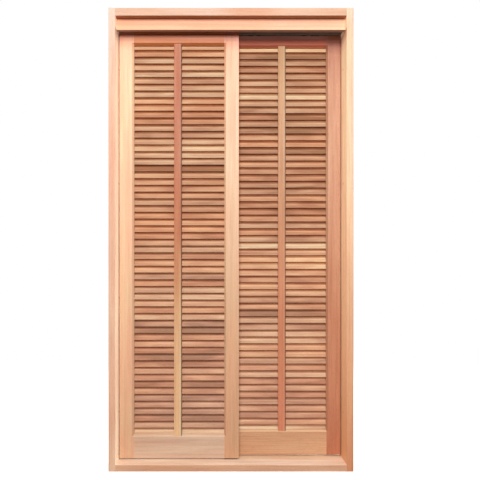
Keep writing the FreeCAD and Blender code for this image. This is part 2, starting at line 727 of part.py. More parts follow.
def make_dowels(leaf):
    body = leaf_body(leaf, "dowels")
    sketch = new_sketch(body, "circles", "YZ_Plane",
                        lift="dims.stile_width - dims.dowel_length / 2")
    for z in dowel_rows(leaf, "top") + dowel_rows(leaf, "bottom"):
        add_circle(sketch, mid_y, z, "dims.dowel_radius")
    pins = add_pad(body, "pins", sketch, "dims.dowel_length")
    add_pattern(body, "sides", pins, [("X_Axis", "layout.panel_width", "2")])


# Hangers, in the same leaf frame

def make_plate(leaf, side, x):
    body = leaf_body(leaf, f"{side}_hanger_plate")
    outline = new_sketch(body, "outline", "XY_Plane", x, mid_y,
                         "layout.leaf_height - dims.plate_thickness")
    add_rectangle(outline, "-dims.plate_length / 2", "-dims.plate_width / 2",
                  "dims.plate_length / 2", "dims.plate_width / 2")
    add_circle(outline, "0", "0", "dims.bolt_radius + dims.fit_clearance")
    for along in ("-", ""):
        for across in ("-", ""):
            add_circle(outline, f"{along}dims.plate_screw_spacing_long / 2",
                       f"{across}dims.plate_screw_spacing_wide / 2", small_pilot)
    add_pad(body, "plate", outline, "dims.plate_thickness")


def make_plate_screws(leaf):
    body = new_body(f"{leaf}_leaf_hanger_screws",
                    f"layout.{leaf}_leaf_x + dims.hanger_inset",
                    f"layout.{leaf}_leaf_y + {mid_y}", "layout.leaf_bottom + layout.leaf_height")
    points = turn_points(pan_profile("dims.plate_screw_length", *small_screw), "V_Axis", "-")
    rows = [("X_Axis", "dims.plate_screw_spacing_long", "2"),
            ("X_Axis", "layout.hanger_spacing", "2")]
    for name, side in (("near", ""), ("far", "-")):
        sketch = new_sketch(body, f"{name}_profile", "XZ_Plane",
                            "-dims.plate_screw_spacing_long / 2", "0",
                            f"{side}dims.plate_screw_spacing_wide / 2")
        add_outline(sketch, points)
        screw = add_turned(body, "Revolution", f"{name}_screw", sketch, "V_Axis")
        add_pattern(body, f"{name}_row", screw, rows)


def make_bolt(leaf, side, x):
    body = leaf_body(leaf, f"{side}_hanger_bolt")
    sketch = new_sketch(body, "profile", "XZ_Plane", x, "layout.carriage_top", f"-({mid_y})")
    end = "layout.leaf_height - layout.carriage_top - dims.bolt_tail"
    add_outline(sketch, [
        ("0", "0"), ("dims.bolt_head_radius", "0"),
        ("dims.bolt_head_radius", "-dims.bolt_head_height"),
        ("dims.bolt_radius", "-dims.bolt_head_height"), ("dims.bolt_radius", end), ("0", end),
    ])
    add_turned(body, "Revolution", "bolt", sketch, "V_Axis")


def make_nut(leaf, side, x):
    body = leaf_body(leaf, f"{side}_lock_nut")
    outline = new_sketch(body, "outline", "XY_Plane", x, mid_y, "layout.leaf_height")
    flat = "dims.nut_across_flats / 2"
    tip = "dims.nut_across_flats / sqrt(3)"
    corner = f"{tip} / 2"
    add_outline(outline, [
        (tip, "0"), (corner, flat), (f"-{corner}", flat), (f"-{tip}", "0"),
        (f"-{corner}", f"-{flat}"), (corner, f"-{flat}"),
    ])
    add_circle(outline, "0", "0", "dims.bolt_radius + dims.fit_clearance")
    add_pad(body, "nut", outline, "dims.nut_height")


def make_carriage(leaf, side, x):
    body = leaf_body(leaf, f"{side}_carriage")
    end = "dims.carriage_length / 2"
    boss = "dims.carriage_boss / 2"
    arm = "dims.carriage_width / 2"
    outline = new_sketch(body, "outline", "XY_Plane", x, mid_y,
                         "layout.carriage_top - dims.carriage_height")
    add_outline(outline, [
        (end, f"-{arm}"), (end, arm), (boss, arm), (boss, boss), (f"-{boss}", boss),
        (f"-{boss}", arm), (f"-{end}", arm), (f"-{end}", f"-{arm}"), (f"-{boss}", f"-{arm}"),
        (f"-{boss}", f"-{boss}"), (boss, f"-{boss}"), (boss, f"-{arm}"),
    ])
    add_pad(body, "block", outline, "dims.carriage_height")
    head = "dims.bolt_head_radius + dims.fit_clearance"
    shank = "dims.bolt_radius + dims.fit_clearance"
    bore = [("0", "0"), ("0", head), ("dims.bolt_head_height", head),
            ("dims.bolt_head_height", shank), ("dims.carriage_height", shank),
            ("dims.carriage_height", "0")]
    drill(body, "bolt_bore", "V_Axis", "-", (x, mid_y, "layout.carriage_top"), bore, [])
    circles = new_sketch(body, "axle_circles", "XZ_Plane", x, "layout.axle_z",
                         f"-({mid_y} + {arm})")
    for along in ("-", ""):
        add_circle(circles, f"{along}dims.axle_spacing / 2", "0",
                   "dims.axle_radius + dims.fit_clearance")
    add_pocket(body, "axle_holes", circles, "dims.carriage_width", backwards=True)


def make_axles(leaf):
    body = leaf_body(leaf, "axles")
    sketch = new_sketch(body, "profile", "YZ_Plane", mid_y, "layout.axle_z",
                        "dims.hanger_inset - dims.axle_spacing / 2")
    inner = "layout.axle_half"
    outer = "(layout.axle_half + dims.axle_head_length)"
    add_outline(sketch, [
        (f"-{outer}", "0"), (outer, "0"), (outer, "dims.axle_head_radius"),
        (inner, "dims.axle_head_radius"), (inner, "dims.axle_radius"),
        (f"-{inner}", "dims.axle_radius"), (f"-{inner}", "dims.axle_head_radius"),
        (f"-{outer}", "dims.axle_head_radius"),
    ])
    axle = add_turned(body, "Revolution", "axle", sketch, "H_Axis")
    add_pattern(body, "set", axle, [("X_Axis", "dims.axle_spacing", "2"),
                                    ("X_Axis", "layout.hanger_spacing", "2")])


def make_wheels(leaf, number, x):
    body = leaf_body(leaf, f"wheels_{number}")
    circles = new_sketch(body, "circles", "XZ_Plane", x, "layout.axle_z",
                         f"-({mid_y} - layout.wheel_offset - dims.wheel_width)")
    add_circle(circles, "0", "0", "dims.wheel_radius")
    add_circle(circles, "0", "0", "dims.axle_radius + dims.wheel_bore_clearance")
    wheel = add_pad(body, "wheel", circles, "dims.wheel_width", backwards=True)
    add_pattern(body, "pair", wheel,
                [("Y_Axis", "2 * layout.wheel_offset + dims.wheel_width", "2")])


def make_leaf(leaf):
    make_stile(leaf, "left_stile", "0", "0", lambda depth: f"dims.stile_width - ({depth})")
    make_stile(leaf, "right_stile", right_shoulder, "layout.leaf_width",
               lambda depth: right_shoulder)
    make_top_rail(leaf)
    make_bottom_rail(leaf)
    make_slats(leaf)
    make_batten(leaf)
    make_dowels(leaf)
    hangers = (("left", "dims.hanger_inset"), ("right", "(layout.leaf_width - dims.hanger_inset)"))
    number = 0
    for side, x in hangers:
        make_plate(leaf, side, x)
        make_bolt(leaf, side, x)
        make_nut(leaf, side, x)
        make_carriage(leaf, side, x)
        for step in ("-", "+"):
            number += 1
            make_wheels(leaf, number, f"{x} {step} dims.axle_spacing / 2")
    make_plate_screws(leaf)
    make_axles(leaf)


make_jamb("left_jamb", "-dims.frame_width / 2", "0", "")
make_jamb("right_jamb", "layout.inner_width / 2", "dims.jamb_thickness", "-")
make_head()
make_sill()
make_fascia()
make_frame_screws("left_frame_screws", "-dims.frame_width / 2", "")
make_frame_screws("right_frame_screws", "dims.frame_width / 2", "-")
make_fascia_screws()
make_track("front_track", "layout.front_lane")
make_track("rear_track", "layout.rear_lane")
make_track_screws()
make_track_stops("front_track_stops", "layout.front_lane")
make_track_stops("rear_track_stops", "layout.rear_lane")
make_floor_guide()
make_floor_guide_screws()
make_leaf("front")
make_leaf("rear")
doc.recompute()

# Every object has to be sound before anything is written
for item in doc.Objects:
    if "Invalid" in item.State or "Error" in item.State:
        raise RuntimeError(f"{item.Name} failed: {item.State}")
for body in parts:
    if body.Shape.isNull() or not body.Shape.isValid():
        raise RuntimeError(f"{body.Label} has no sound shape")

os.makedirs("parts", exist_ok=True)
for body in parts:
    body.Shape.exportStep(f"parts/{body.Label}.step")
    print(body.Label, len(body.Shape.Solids), round(body.Shape.Volume / 1000, 2))
for leaf in ("front", "rear"):
    step = float(layout.get(f"{leaf}_slat_step"))
    print(leaf, "slats", layout.get(f"{leaf}_slat_count"), "step", round(step, 3))
print("depth", layout.get("frame_depth"), "leaf", layout.get("leaf_width"),
      layout.get("leaf_height"), "travel", layout.get("leaf_travel"))
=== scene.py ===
import json
import math
import bmesh
import bpy
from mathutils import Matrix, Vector

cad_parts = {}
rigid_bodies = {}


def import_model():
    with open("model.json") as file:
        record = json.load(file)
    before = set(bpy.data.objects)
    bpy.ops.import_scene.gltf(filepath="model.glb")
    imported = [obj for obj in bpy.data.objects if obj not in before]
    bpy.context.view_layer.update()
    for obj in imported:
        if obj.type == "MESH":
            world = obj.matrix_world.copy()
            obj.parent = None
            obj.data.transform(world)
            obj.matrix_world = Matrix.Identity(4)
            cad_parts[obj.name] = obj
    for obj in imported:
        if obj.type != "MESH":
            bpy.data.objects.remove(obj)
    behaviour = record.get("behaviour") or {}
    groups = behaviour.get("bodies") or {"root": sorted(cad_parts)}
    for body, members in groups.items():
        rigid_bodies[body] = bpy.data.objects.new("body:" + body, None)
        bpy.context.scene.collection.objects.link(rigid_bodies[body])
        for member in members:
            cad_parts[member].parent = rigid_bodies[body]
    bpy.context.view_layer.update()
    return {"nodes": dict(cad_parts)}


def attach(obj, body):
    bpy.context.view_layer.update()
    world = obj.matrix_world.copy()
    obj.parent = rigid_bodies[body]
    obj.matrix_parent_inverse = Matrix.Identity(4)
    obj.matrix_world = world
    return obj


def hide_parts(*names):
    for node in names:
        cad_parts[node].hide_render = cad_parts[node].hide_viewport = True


for old in list(bpy.data.objects):
    bpy.data.objects.remove(old)
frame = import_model()
nodes = frame["nodes"]
scene = bpy.context.scene
leaves = ("front", "rear")
print("frame loaded with", len(nodes), "nodes")


# small helpers for node trees
def linear(colour, share=1.0):  # from screen values, 0 to 255, to linear light
    return tuple(share * ((c / 255 + 0.055) / 1.055) ** 2.4 for c in colour) + (1.0,)


def put(tree, kind, sockets=None, **settings):
    node = tree.nodes.new(kind)
    for key, val in settings.items():
        setattr(node, key, val)
    for key, val in (sockets or {}).items():
        if isinstance(val, bpy.types.NodeSocket):
            tree.links.new(val, node.inputs[key])
        else:
            node.inputs[key].default_value = val
    return node


def maths(tree, operation, first, second=0.0, clamp=False):
    sockets = {0: first, 1: second}
    return put(tree, "ShaderNodeMath", sockets, operation=operation, use_clamp=clamp).outputs[0]


def spread(tree, value, low, high, toLow=0.0, toHigh=1.0):
    sockets = {0: value, 1: low, 2: high, 3: toLow, 4: toHigh}
    return put(tree, "ShaderNodeMapRange", sockets).outputs[0]


def component(tree, vector, axis):
    return put(tree, "ShaderNodeSeparateXYZ", {0: vector}).outputs[axis]


def combine(tree, **parts):
    return put(tree, "ShaderNodeCombineXYZ", parts).outputs[0]


def mixTone(tree, amount, first, second, blend="MIX"):
    sockets = {0: amount, 6: first, 7: second}
    return put(tree, "ShaderNodeMix", sockets, data_type="RGBA", blend_type=blend).outputs[2]


# multiplies a tint in where amount is 1: a real stain on sawn ends, painted shade and painted light on faces,
# sides and slats, and the strips along the battens
def stainAndShade(tree, amount, tone, tint):
    return mixTone(tree, amount, tone, tint + (1.0,), "MULTIPLY")


def cloud(tree, vector, scale, detail=2.0, rough=0.5, twist=0.0):
    sockets = {"Vector": vector, "Scale": scale, "Detail": detail, "Roughness": rough, "Distortion": twist}
    return put(tree, "ShaderNodeTexNoise", sockets).outputs["Fac"]


def squeeze(tree, vector, size=(1, 1, 1), shift=(0, 0, 0), turn=(0, 0, 0)):
    sockets = {"Vector": vector, "Scale": size, "Location": shift, "Rotation": turn}
    return put(tree, "ShaderNodeMapping", sockets).outputs[0]


def attribute(tree, label, output="Fac"):
    return put(tree, "ShaderNodeAttribute", attribute_name=label).outputs[output]


def likeness(tree, first, second):  # cosine between two directions
    sockets = {0: first, 1: second}
    return put(tree, "ShaderNodeVectorMath", sockets, operation="DOT_PRODUCT").outputs["Value"]


def startMaterial(name):
    material = bpy.data.materials.new(name)
    material.use_nodes = True
    tree = material.node_tree
    tree.nodes.clear()
    output = put(tree, "ShaderNodeOutputMaterial")
    shader = put(tree, "ShaderNodeBsdfPrincipled")
    tree.links.new(shader.outputs[0], output.inputs[0])
    return material, tree, shader


def coat(tree, shader, tone, rough, relief, bump, depth):
    sockets = {"Strength": bump, "Distance": depth, "Height": relief}
    bumped = put(tree, "ShaderNodeBump", sockets).outputs[0]
    for key, socket in (("Base Color", tone), ("Roughness", rough), ("Normal", bumped)):
        tree.links.new(socket, shader.inputs[key])


arris = {"samples": 4, "flat": 0.99, "sharp": 0.80}  # likeness of true and rounded normal


def edgeMask(tree, radius):  # 0 on a flat face, 1 on an arris
    rounded = put(tree, "ShaderNodeBevel", {"Radius": radius}, samples=arris["samples"]).outputs[0]
    true = put(tree, "ShaderNodeNewGeometry").outputs["Normal"]
    return spread(tree, likeness(tree, rounded, true), arris["flat"], arris["sharp"])


def dress(name, material):
    node = nodes[name]
    node.data.materials.clear()
    node.data.materials.append(material)


# wood: one solid texture for every board, long along its grain, so that faces and ends agree
woodBase = {
    # noise fields: scale, length along the grain, detail, roughness, twist
    "broadField": (14.0, 0.13, 2, 0.5, 0.4),    # soft bands of colour
    "streakField": (70.0, 0.035, 4, 0.6, 0.2),  # narrow streaks
    "fineField": (330.0, 0.022, 3, 0.65, 0.1),  # hair-thin grain lines
    "poreField": (1100.0, 0.07, 1, 0.5, 0.0),   # open pores, short dark dashes
    # growth rings round the pith
    "ringScale": 34.0, "ringLength": 0.05, "pith": (0, 0.09, 0.035),
    "ringWave": {"Distortion": 7.0, "Detail": 3.0, "Detail Scale": 0.35, "Detail Roughness": 0.6},
    # where each field begins to show and where it shows in full
    "broadLimits": (0.34, 0.66), "streakLimits": (0.45, 0.75), "lateLimits": (0.55, 1.0),
    "fineLimits": (0.46, 0.72), "poreLimits": (0.62, 0.74),
    "fine": 0.34, "pore": 0.46,                            # strength of lines and pores
    "ringDepth": 0.5, "fineDepth": 0.6, "poreDepth": 0.8,  # how far each goes to the deep colour
    "driftNoise": (0.3, 0.7, -0.12, 0.12),                 # unevenness of a drift
    "faceLimits": (0.80, 0.95), "sideLimits": (0.50, 0.65),  # how squarely a face looks that way
    "endLimits": (0.75, 0.90), "endTint": (0.62, 0.5766, 0.5332),
    "rubRadius": 0.0022, "rubField": (30, 3), "rubLimits": (0.42, 0.62, 0.08, 0.5),
    "stripSoft": 0.0006,                                   # half the width of a strip's edge
    "roughFrom": (0.3, 0.9), "roughLow": 0.40, "roughHigh": 0.62,
    "relief": {"late": 0.25, "poreDark": -1.5, "streak": 0.4, "fine": 0.4},
    "bump": 0.22, "bumpDepth": 0.0006, "gloss": 0.38,
    "share": 0.828,                                        # colours are given as seen in full light
}


def grainFields(tree, values, board):
    fields = {}
    for key in ("broad", "streak", "fine", "pore"):
        scale, length, detail, rough, twist = values[key + "Field"]
        fields[key] = cloud(tree, squeeze(tree, board, (length, 1, 1)), scale, detail, rough, twist)
    ringPlace = squeeze(tree, board, (values["ringLength"], 1, 1), values["pith"])
    sockets = {"Vector": ringPlace, "Scale": values["ringScale"], **values["ringWave"]}
    wave = put(tree, "ShaderNodeTexWave", sockets, wave_type="RINGS", rings_direction="X", wave_profile="SAW")
    fields["late"] = spread(tree, wave.outputs["Fac"], *values["lateLimits"])
    fields["poreDark"] = spread(tree, fields["pore"], *values["poreLimits"], 0.0, values["pore"])
    return fields


def lotTone(tree, values, broadPart):
    # boards of many trees: a ramp over each slat's own tone, tinted from pink to tan
    swing = maths(tree, "MULTIPLY", maths(tree, "SUBTRACT", broadPart, 0.5), values["swing"])
    ramp = put(tree, "ShaderNodeValToRGB", {0: maths(tree, "ADD", attribute(tree, "slatTone"), swing, True)})
    stops = ramp.color_ramp.elements
    first, *between, last = values["ramp"]
    for stop, (spot, colour) in zip(stops, (first, last)):
        stop.position = spot
        stop.color = linear(colour, values["share"])
    for spot, colour in between:
        stops.new(spot).color = linear(colour, values["share"])
    pink, tan = values["hueEnds"]
    tint = mixTone(tree, attribute(tree, "slatHue"), pink + (1.0,), tan + (1.0,))
    return mixTone(tree, 1.0, ramp.outputs[0], tint, "MULTIPLY")


def grainTone(tree, values, fields):
    share = values["share"]
    deep = linear(values["deep"], share)
    broadPart = spread(tree, fields["broad"], *values["broadLimits"])
    if "ramp" in values:
        tone = lotTone(tree, values, broadPart)
    else:
        tone = mixTone(tree, broadPart, linear(values["pale"], share), linear(values["mid"], share))
    streaks = spread(tree, fields["streak"], *values["streakLimits"], 0.0, values["streak"])
    tone = mixTone(tree, streaks, tone, deep)
    rings = maths(tree, "MULTIPLY", fields["late"], values["ring"])
    lines = spread(tree, fields["fine"], *values["fineLimits"], 0.0, values["fine"])
    for amount, key in ((rings, "ringDepth"), (lines, "fineDepth"), (fields["poreDark"], "poreDepth")):
        tone = mixTone(tree, amount, tone, mixTone(tree, values[key], tone, deep, "MULTIPLY"))
    return tone


# painted shade and painted light, with some changes in the wood's own tone
def paintedShadeAndTone(tree, values, fields, place, tone):
    if "drift" in values:  # colour that changes over the height of the board: painted shade, darker toward the foot of upright boards and toward the top of the fascia under the head, and the battens' own tone
        low, high, foot, top = values["drift"]
        height = spread(tree, component(tree, place["Object"], "Z"), low, high)
        part = maths(tree, "ADD", height, spread(tree, fields["broad"], *values["driftNoise"]), True)
        tone = mixTone(tree, 1.0, tone, mixTone(tree, part, foot + (1.0,), top + (1.0,)), "MULTIPLY")
    for low, high, tint in values.get("recess", ()):  # painted shade and painted light on a slat, by how far it runs up behind its neighbour
        tone = stainAndShade(tree, spread(tree, attribute(tree, "slatDepth"), low, high), tone, tint)
    if "face" in values:  # one face tinted: painted light where the tint is above 1, painted shade where it is below
        toward, tint = values["face"]
        squarely = likeness(tree, place["Normal"], toward)
        tone = stainAndShade(tree, spread(tree, squarely, *values["faceLimits"]), tone, tint)
    for toward, axis, steps in values.get("toneAndShadeSteps", ()):  # one side, in steps along an axis: painted shade and painted light, and on the head, fascia and jamb fronts changes of colour
        side = spread(tree, likeness(tree, place["Normal"], toward), *values["sideLimits"])
        where = component(tree, place["Object"], axis)
        for low, high, tint in steps:
            part = maths(tree, "MULTIPLY", side, spread(tree, where, low, high))
            tone = stainAndShade(tree, part, tone, tint)
    return tone


def wornTone(tree, values, place, board, turn, tone):
    # sawn ends soak up the finish and turn darker
    along = component(tree, squeeze(tree, place["Normal"], turn=turn), "X")
    ends = spread(tree, maths(tree, "ABSOLUTE", along), *values["endLimits"])
    tone = stainAndShade(tree, ends, tone, values["endTint"])
    # arrises are rubbed pale in patches
    patch = spread(tree, cloud(tree, board, *values["rubField"]), *values["rubLimits"])
    rub = maths(tree, "MULTIPLY", edgeMask(tree, values["rubRadius"]), patch)
    tone = mixTone(tree, rub, tone, linear(values["worn"], values["share"]))
    for edge, tint in values.get("strips", ()):  # strips along a batten, each from its edge to the right
        across = component(tree, place["Object"], "X")
        part = spread(tree, across, edge - values["stripSoft"], edge + values["stripSoft"])
        tone = stainAndShade(tree, part, tone, tint)
    return tone


def woodFinish(name, look):
    values = {**woodBase, **look}
    material, tree, shader = startMaterial(name)
    place = put(tree, "ShaderNodeTexCoord").outputs
    turn = (0, math.pi / 2, 0) if values["grain"] == "z" else (0, 0, 0)  # lays the grain along x
    board = squeeze(tree, place["Object"], shift=values["shift"], turn=turn)
    if "ramp" in values:  # every slat starts elsewhere in the log
        sockets = {0: board, 1: attribute(tree, "grainShift", "Vector")}
        board = put(tree, "ShaderNodeVectorMath", sockets, operation="ADD").outputs[0]
    fields = grainFields(tree, values, board)
    tone = grainTone(tree, values, fields)
    tone = paintedShadeAndTone(tree, values, fields, place, tone)
    tone = wornTone(tree, values, place, board, turn, tone)
    dull = maths(tree, "ADD", fields["streak"], fields["poreDark"])
    rough = spread(tree, dull, *values["roughFrom"], values["roughLow"], values["roughHigh"])
    relief = 0.0
    for key, height in values["relief"].items():
        relief = maths(tree, "ADD", relief, maths(tree, "MULTIPLY", fields[key], height))
    coat(tree, shader, tone, rough, relief, values["bump"], values["bumpDepth"])
    shader.inputs["Specular IOR Level"].default_value = values["gloss"]
    return material


# where a face looks, and the tint that changes nothing
toLeft, toRight, toFront = (-1, 0, 0), (1, 0, 0), (0, -1, 0)
toTop, toFloor = (0, 0, 1), (0, 0, -1)
bevelUp, bevelDown = (0, -0.707, 0.707), (0, -0.707, -0.707)
plain = (1.0, 1.0, 1.0)

# fixed frame: two jambs, head, sill and fascia
# drift: lower height, upper height, tint of the foot, tint of the top; painted shade on upright boards and
# the fascia, the wood's own tone on the battens
# shade steps: where the side looks, axis, and for each step where it begins, where it ends, its tint; painted
# shade and painted light, and along the head, fascia and jamb fronts changes of colour
# face: where one face looks and its tint, painted light on faces that look up or into the opening, painted
# shade on faces that look down
frameBoards = {
    "left_jamb": {
        "grain": "z", "shift": (0.9, 0.0, 0.1), "streak": 0.30, "ring": 0.10,
        "pale": (243, 192, 162), "mid": (231, 171, 141), "deep": (189, 119, 90), "worn": (246, 207, 178),
        # painted shade: darker toward the foot
        "drift": (0.0, 2.1, (0.80, 0.87, 0.85), (0.93, 1.0, 1.0)),
        # painted light on the inner face
        "face": (toRight, (1.52, 2.00, 2.25)),
        # inner face: painted light on the lower half, painted shadow of the fascia at the top and none above
        # its lower edge; front: colour that changes with height
        "toneAndShadeSteps": [
            (toRight, "Z", [(1.250, 0.800, (1.08, 1.08, 1.10)), (1.955, 2.012, (0.50, 0.44, 0.43)),
                            (2.012, 2.016, (2.00, 2.27, 2.33))]),
            (toFront, "Z", [(1.000, 1.250, (0.97, 0.87, 0.81)), (1.480, 1.720, (1.03, 1.15, 1.23)),
                            (1.760, 1.880, (0.97, 1.14, 1.23)), (1.900, 2.090, (1.00, 1.17, 1.28))])],
    },
    "right_jamb": {
        "grain": "z", "shift": (1.7, 0.3, 0.0), "streak": 0.35, "ring": 0.12,
        "pale": (252, 217, 176), "mid": (240, 189, 150), "deep": (186, 121, 85), "worn": (255, 229, 195),
        # painted shade: darker and redder toward the foot
        "drift": (0.0, 1.5, (0.64, 0.41, 0.30), plain),
        # painted light on the inner face
        "face": (toLeft, (1.37, 1.56, 1.60)),
        # inner face: painted shadow of the fascia, none above its lower edge; front: colour that changes with
        # height
        "toneAndShadeSteps": [
            (toLeft, "Z", [(1.925, 1.975, (0.93, 0.80, 0.80)), (1.965, 2.012, (0.56, 0.45, 0.44)),
                           (2.012, 2.016, (1.92, 2.78, 2.84))]),
            (toFront, "Z", [(1.150, 1.550, (0.98, 0.88, 0.89)), (2.020, 2.080, (0.97, 1.20, 1.36))])],
    },
    "head": {
        "grain": "x", "shift": (0.6, 0.2, 0.7), "streak": 0.25, "ring": 0.08,
        "pale": (239, 201, 178), "mid": (233, 189, 160), "deep": (188, 130, 103), "worn": (243, 217, 196),
        "roughLow": 0.80, "roughHigh": 0.95,
        # painted shade on the underside
        "face": (toFloor, (0.72, 0.53, 0.44)),
        # the wood's own tone, changing along the front
        "toneAndShadeSteps": [(toFront, "X", [(-0.36, -0.28, (1.02, 1.10, 1.17)), (-0.10, 0.03, (0.95, 0.76, 0.64)),
                                  (0.14, 0.24, (1.03, 1.17, 1.25))])],
    },
    "sill": {
        "grain": "x", "shift": (2.1, 0.5, 0.2), "streak": 0.35, "ring": 0.12,
        "pale": (232, 183, 148), "mid": (218, 162, 125), "deep": (169, 105, 75), "worn": (240, 196, 163),
        # painted light on the top
        "face": (toTop, (1.56, 2.20, 2.80)),
        # painted shade on the top toward the back, where the leaves stand
        "toneAndShadeSteps": [(toTop, "Y", [(-0.020, 0.030, (0.88, 0.77, 0.63))])],
    },
    "fascia": {
        "grain": "x", "shift": (0.9, 0.8, 0.4), "streak": 0.22, "ring": 0.08,
        "pale": (253, 191, 153), "mid": (248, 178, 138), "deep": (204, 127, 90), "worn": (255, 211, 180),
        # painted shadow of the head: darker and redder toward the top
        "drift": (2.02, 2.06, (1.02, 1.12, 1.06), (0.96, 0.80, 0.74)),
        # painted shade on the underside
        "face": (toFloor, (0.52, 0.64, 1.10)),
        # the wood's own tone, changing along the front
        "toneAndShadeSteps": [(toFront, "X", [(-0.16, 0.08, (1.00, 1.07, 1.09)), (0.13, 0.22, (1.00, 1.11, 1.20)),
                                  (0.30, 0.44, (1.00, 1.06, 1.07))])],
    },
}
for name, look in frameBoards.items():
    dress(name, woodFinish(name + "Wood", look))
print("frame boards finished")


# leaves: stiles, rails and battens keep their CAD shape
leafBoards = {
    "front_leaf_left_stile": {
        "grain": "z", "shift": (0.2, 0.9, 0.3), "streak": 0.25, "ring": 0.10,
        "pale": (255, 218, 175), "mid": (253, 196, 159), "deep": (217, 145, 109), "worn": (255, 224, 191),
        # painted shade: darker toward the foot
        "drift": (0.0, 1.8, (0.68, 0.70, 0.67), plain),
        # painted shadow of the fascia near the top, and painted light above its lower edge
        "toneAndShadeSteps": [(toFront, "Z", [(1.935, 1.985, (0.86, 0.68, 0.63)), (1.975, 2.008, (0.42, 0.27, 0.25)),
                                  (2.010, 2.016, (1.50, 2.70, 4.20))])],
    },
    "front_leaf_right_stile": {
        "grain": "z", "shift": (1.4, 0.1, 0.8), "streak": 0.30, "ring": 0.12,
        "pale": (255, 213, 172), "mid": (254, 194, 156), "deep": (212, 138, 105), "worn": (255, 223, 189),
        # painted shade: darker toward the foot
        "drift": (0.0, 1.7, (0.66, 0.58, 0.52), plain),
        # painted shadow of the fascia near the top, and painted light above its lower edge
        "toneAndShadeSteps": [(toFront, "Z", [(1.780, 1.950, (0.97, 0.88, 0.86)), (1.935, 1.985, (0.82, 0.62, 0.58)),
                                  (1.975, 2.008, (0.42, 0.26, 0.24)), (2.010, 2.016, (1.60, 3.00, 4.60))])],
    },
    "rear_leaf_left_stile": {
        "grain": "z", "shift": (0.7, 0.4, 0.6), "streak": 0.30, "ring": 0.12,
        "pale": (248, 208, 168), "mid": (236, 184, 146), "deep": (196, 130, 98), "worn": (255, 222, 188),
    },
    "rear_leaf_right_stile": {
        "grain": "z", "shift": (2.2, 0.6, 0.1), "streak": 0.35, "ring": 0.14,
        "pale": (213, 162, 126), "mid": (200, 139, 104), "deep": (161, 94, 67), "worn": (221, 174, 139),
        # painted shade: darker toward the foot
        "drift": (0.0, 1.2, (0.84, 0.60, 0.53), plain),
        # painted shadow of the fascia near the top, and painted light above its lower edge
        "toneAndShadeSteps": [(toFront, "Z", [(1.780, 1.920, (0.84, 0.72, 0.70)), (1.935, 1.982, (0.60, 0.40, 0.36)),
                                  (1.996, 2.010, (1.90, 3.40, 5.50))])],
    },
    "front_leaf_top_rail": {
        "grain": "x", "shift": (0.1, 0.3, 0.9), "streak": 0.25, "ring": 0.10,
        "pale": (232, 180, 140), "mid": (222, 160, 120), "deep": (180, 112, 78), "worn": (240, 192, 154),
        # painted shade on the bevel that looks down
        "face": (bevelDown, (0.80, 0.72, 0.68)),
        # painted shade on the whole front, deeper under the fascia, and painted light above its lower edge
        "toneAndShadeSteps": [(toFront, "Z", [(0.0, 1.0, (0.83, 0.50, 0.25)), (1.980, 2.010, (0.54, 0.39, 0.40)),
                                  (2.010, 2.016, (1.60, 3.40, 6.50))])],
    },
    "rear_leaf_top_rail": {
        "grain": "x", "shift": (1.1, 0.7, 0.5), "streak": 0.25, "ring": 0.10, "gloss": 0.16,
        "pale": (228, 172, 138), "mid": (217, 154, 119), "deep": (174, 106, 78), "worn": (236, 186, 154),
        # painted shade on the bevel that looks down
        "face": (bevelDown, (0.90, 0.85, 0.82)),
        # painted shade on the whole front, greyer along the top under the fascia
        "toneAndShadeSteps": [(toFront, "Z", [(0.0, 1.0, (0.62, 0.34, 0.34)), (2.000, 2.014, (1.15, 2.30, 3.60))])],
    },
    "front_leaf_bottom_rail": {
        "grain": "x", "shift": (0.5, 0.6, 0.2), "streak": 0.30, "ring": 0.12,
        "pale": (223, 190, 162), "mid": (213, 173, 145), "deep": (175, 123, 98), "worn": (236, 209, 183),
        # painted light on the bevel that looks up
        "face": (bevelUp, (1.09, 1.10, 1.05)),
    },
    "rear_leaf_bottom_rail": {
        "grain": "x", "shift": (1.9, 0.2, 0.4), "streak": 0.30, "ring": 0.12,
        "pale": (216, 167, 127), "mid": (205, 149, 109), "deep": (165, 105, 71), "worn": (229, 188, 151),
        # painted light on the bevel that looks up
        "face": (bevelUp, (1.30, 1.49, 1.58)),
    },
    "front_leaf_centre_batten": {
        "grain": "z", "shift": (0.8, 0.5, 0.2), "streak": 0.35, "ring": 0.10,
        "pale": (220, 170, 117), "mid": (212, 157, 107), "deep": (178, 105, 69), "worn": (230, 179, 128),
        "drift": (0.15, 1.25, (1.33, 1.61, 1.94), (0.73, 0.34, 0.19)),
        "strips": [(-0.2415, (1.02, 1.22, 1.30)), (-0.2340, (0.34, 0.26, 0.24))],
    },
    "rear_leaf_centre_batten": {
        "grain": "z", "shift": (1.3, 0.9, 0.7), "streak": 0.35, "ring": 0.10,
        "pale": (222, 178, 125), "mid": (212, 163, 113), "deep": (178, 109, 73), "worn": (232, 186, 136),
        "drift": (0.3, 1.9, (0.99, 0.60, 0.70), (0.79, 0.68, 0.53)),
        "strips": [(0.2475, (1.02, 1.16, 1.22)), (0.2560, (0.34, 0.26, 0.24))],
    },
}
for name, look in leafBoards.items():
    dress(name, woodFinish(name + "Wood", look))
pegLook = {
    "grain": "x", "shift": (0.4, 0.4, 0.4), "streak": 0.25, "ring": 0.06,
    "pale": (226, 196, 152), "mid": (212, 178, 132), "deep": (170, 130, 88), "worn": (232, 204, 164),
}
pegWood = woodFinish("pegWood", pegLook)
for leaf in leaves:
    dress(leaf + "_leaf_dowels", pegWood)
print("leaf boards finished")


